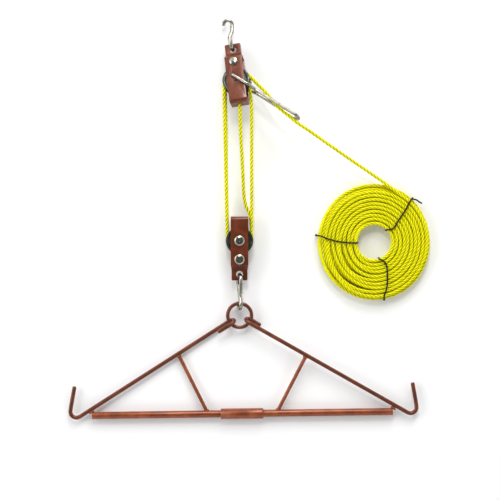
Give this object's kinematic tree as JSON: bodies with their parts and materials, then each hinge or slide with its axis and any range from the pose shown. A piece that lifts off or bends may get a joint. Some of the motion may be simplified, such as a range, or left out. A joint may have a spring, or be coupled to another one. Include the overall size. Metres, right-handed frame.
{
  "type": "gambrel hoist kit",
  "caption": "Folding game gambrel on a rope hoist: pulley blocks, rope-lock bail, S-hooks, ring and a tied coil of yellow hauling rope, laid flat.",
  "frame": {"origin": "centre of the rigid pieces' box at the surface the kit lies on", "axes": "+Y from the gambrel up to the top hook, +X along the gambrel to its right hook, +Z off the surface"},
  "size_m": [0.6326, 0.6969, 0.0742],
  "materials": {
    "paint": "hammered copper-brown paint",
    "zinc": "bright zinc plate",
    "steel": "dark oiled steel",
    "rope": "twisted three-strand polypropylene, slightly glossy",
    "tie": "black coated wire"
  },
  "bodies": {
    "upper_block": {"upper_strap": "paint", "upper_axle": "paint", "upper_tie_rivet": "zinc", "upper_tie_spacer": "steel", "upper_washer": "zinc", "becket_knot": "rope", "span_1": "rope", "span_2": "rope", "span_3": "rope", "span_4": "rope", "upper_front_wrap": "rope", "upper_rear_wrap": "rope", "hauling_rope": "rope", "rope_coil": "rope", "coil_tie_left": "tie", "coil_tie_upper": "tie", "coil_tie_lower": "tie"},
    "top_hook": {"top_hook": "zinc"},
    "bail": {"rope_lock_bail": "zinc"},
    "upper_front": {"upper_front_sheave": "steel"},
    "upper_rear": {"upper_rear_sheave": "steel"},
    "lower_block": {"lower_strap": "paint", "lower_axle": "zinc", "lower_tie_rivet": "zinc", "lower_tie_spacer": "steel", "lower_washer": "zinc", "lower_front_wrap": "rope", "lower_rear_wrap": "rope"},
    "lower_front": {"lower_front_sheave": "steel"},
    "lower_rear": {"lower_rear_sheave": "steel"},
    "lower_hook": {"lower_hook": "zinc"},
    "ring": {"hanging_ring": "paint"},
    "left_half": {"left_arm": "paint", "left_tube": "paint", "left_brace": "paint"},
    "right_half": {"right_arm": "paint", "right_tube": "paint", "right_brace": "paint"},
    "sleeve": {"lock_sleeve": "paint"}
  },
  "joints": [
    {"name": "top_hook_swing", "type": "hinge", "parent": "upper_block", "child": "top_hook", "pos_m": [-0.01785, 0.29371, 0.01525], "axis": [-0.1716, 0.2349, 0.9568], "range_deg": [-20, 20]},
    {"name": "bail_swing", "type": "hinge", "parent": "upper_block", "child": "bail", "pos_m": [-0.01599, 0.24364, 0.02787], "axis": [-0.1716, 0.2349, 0.9568], "range_deg": [0, 25]},
    {"name": "hoist_lift", "type": "slide", "parent": "upper_block", "child": "lower_block", "axis": [0, 1, 0], "range_m": [0, 0.13], "deforming": ["span_1", "span_2", "span_3", "span_4"]},
    {"name": "upper_front_spin", "type": "hinge", "parent": "upper_block", "child": "upper_front", "pos_m": [-0.01202, 0.2384, 0.03609], "axis": [-0.1716, 0.2349, 0.9568], "continuous": true},
    {"name": "upper_rear_spin", "type": "hinge", "parent": "upper_block", "child": "upper_rear", "pos_m": [-0.00998, 0.2356, 0.02471], "axis": [-0.1716, 0.2349, 0.9568], "continuous": true},
    {"name": "lower_front_spin", "type": "hinge", "parent": "lower_block", "child": "lower_front", "pos_m": [-0.0068, -0.0373, 0.0235], "axis": [0, 0, 1], "continuous": true},
    {"name": "lower_rear_spin", "type": "hinge", "parent": "lower_block", "child": "lower_rear", "pos_m": [-0.0068, -0.0373, 0.0116], "axis": [0, 0, 1], "continuous": true},
    {"name": "lower_hook_swing", "type": "hinge", "parent": "lower_block", "child": "lower_hook", "pos_m": [-0.0068, -0.1069, 0.01755], "axis": [-0.9744, 0, 0.225], "range_deg": [0, 25]},
    {"name": "ring_swing", "type": "hinge", "parent": "lower_hook", "child": "ring", "pos_m": [-0.0067, -0.14635, 0.0122], "axis": [-1, 0, 0], "range_deg": [0, 40]},
    {"name": "left_fold", "type": "hinge", "parent": "ring", "child": "left_half", "pos_m": [-0.02327, -0.17959, 0.0122], "axis": [0.6018, -0.7986, 0], "range_deg": [0, 90]},
    {"name": "right_fold", "type": "hinge", "parent": "ring", "child": "right_half", "pos_m": [0.01136, -0.17732, 0.0122], "axis": [-0.4924, -0.8704, 0], "range_deg": [0, 90]},
    {"name": "sleeve_slide", "type": "slide", "parent": "right_half", "child": "sleeve", "axis": [0.9999, 0.0134, 0], "range_m": [-0.02, 0.02]}
  ],
  "couplings": [
    {"joint": "upper_front_spin", "follows": "hoist_lift", "rad_per_m": -190.48},
    {"joint": "lower_front_spin", "follows": "hoist_lift", "rad_per_m": -142.86},
    {"joint": "upper_rear_spin", "follows": "hoist_lift", "rad_per_m": -95.238},
    {"joint": "lower_rear_spin", "follows": "hoist_lift", "rad_per_m": -47.619}
  ]
}
